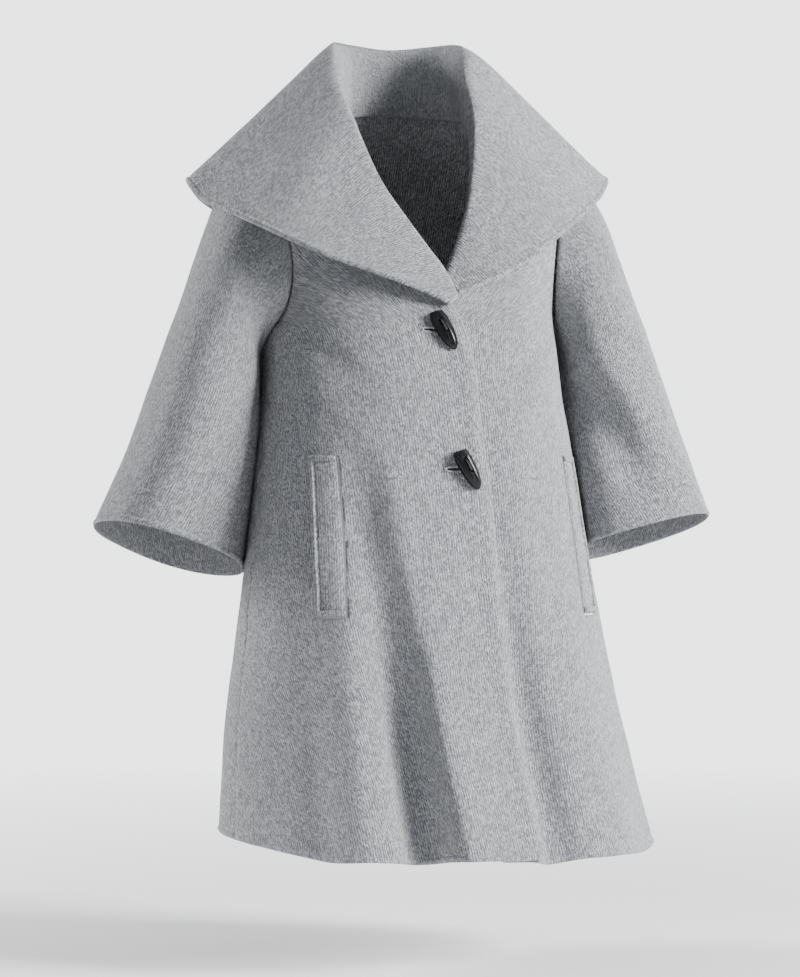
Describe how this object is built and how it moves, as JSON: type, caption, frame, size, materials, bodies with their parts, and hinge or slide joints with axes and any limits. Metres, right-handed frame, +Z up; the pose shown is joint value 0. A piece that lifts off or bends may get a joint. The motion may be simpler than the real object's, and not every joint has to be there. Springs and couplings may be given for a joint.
{
  "type": "a-line coat",
  "caption": "Short A-line coat of thick melange wool with a wide shawl collar, three-quarter bell sleeves, slanted welt pockets and horn-shaped toggles.",
  "frame": {"origin": "middle of the neck opening, level with the shoulder seams at the neck, where the wearer's shoulders hold the coat", "axes": "+Z up, the front faces -Y, +X is the wearer's left"},
  "size_m": [0.7003, 0.4372, 0.8995],
  "materials": {
    "wool": "melange wool with a fine diagonal weave and a soft nap",
    "collar_wool": "the same melange wool, two layers",
    "horn": "glossy dark horn",
    "thread": "dark sewing thread"
  },
  "bodies": {
    "root": {"back": "wool", "front_right": "wool", "front_left": "wool", "sleeve_right": "wool", "sleeve_left": "wool", "collar": "collar_wool", "pocket_welt_right": "wool", "pocket_welt_left": "wool", "toggle_upper": "horn", "toggle_lower": "horn", "shank_upper": "thread", "shank_lower": "thread"}
  },
  "joints": []
}
